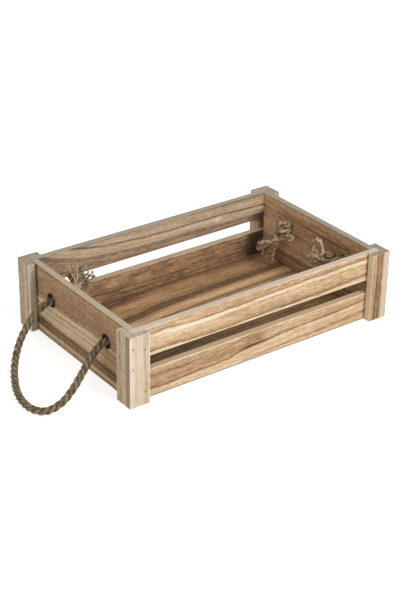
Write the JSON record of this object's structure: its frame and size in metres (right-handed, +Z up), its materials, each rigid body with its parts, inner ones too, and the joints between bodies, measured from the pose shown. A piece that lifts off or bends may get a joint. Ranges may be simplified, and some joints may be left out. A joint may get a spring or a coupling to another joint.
{
  "type": "wooden crate",
  "caption": "Low open wooden crate with slatted long sides, solid ends, lapped corner battens and a knotted rope handle at each end.",
  "frame": {"origin": "on the ground, under the middle of the crate without its rope loops", "axes": "+X along the long side to the right, +Y to the back, +Z up out of the open top"},
  "size_m": [0.6008, 0.254, 0.095],
  "materials": {
    "slat_wood": "torched and brushed light wood, tan with brown grain lines, dry and matt",
    "end_wood": "torched and brushed light wood, browner, with dark burnt grain stripes, dry and matt",
    "batten_wood": "pale brushed wood with upright grain, dry and matt",
    "floor_wood": "thin veneered board, striped tan and brown, matt",
    "rope": "three-strand laid rope, olive to grey brown, dry fibre, frayed at the ends",
    "nail_steel": "dark, dull and lightly rusted"
  },
  "bodies": {
    "root": {"front_lower_slat": "slat_wood", "front_upper_slat": "slat_wood", "back_lower_slat": "slat_wood", "back_upper_slat": "slat_wood", "left_end_panel": "end_wood", "right_end_panel": "end_wood", "floor_panel": "floor_wood", "front_left_cover_batten": "batten_wood", "front_left_butt_batten": "batten_wood", "front_right_cover_batten": "batten_wood", "front_right_butt_batten": "batten_wood", "back_left_cover_batten": "batten_wood", "back_left_butt_batten": "batten_wood", "back_right_cover_batten": "batten_wood", "back_right_butt_batten": "batten_wood", "front_left_nails": "nail_steel", "front_right_nails": "nail_steel", "back_left_nails": "nail_steel", "back_right_nails": "nail_steel", "floor_nails": "nail_steel", "left_front_knot": "rope", "left_rear_knot": "rope", "right_front_knot": "rope", "right_rear_knot": "rope"},
    "left_handle": {"left_rope_loop": "rope"},
    "right_handle": {"right_rope_loop": "rope"}
  },
  "joints": [
    {"name": "left_handle_swing", "type": "hinge", "parent": "root", "child": "left_handle", "pos_m": [-0.1965, 0, 0.05535], "axis": [0, 1, 0], "range_deg": [0, 95]},
    {"name": "right_handle_swing", "type": "hinge", "parent": "root", "child": "right_handle", "pos_m": [0.1965, 0, 0.05535], "axis": [0, -1, 0], "range_deg": [0, 95]}
  ]
}
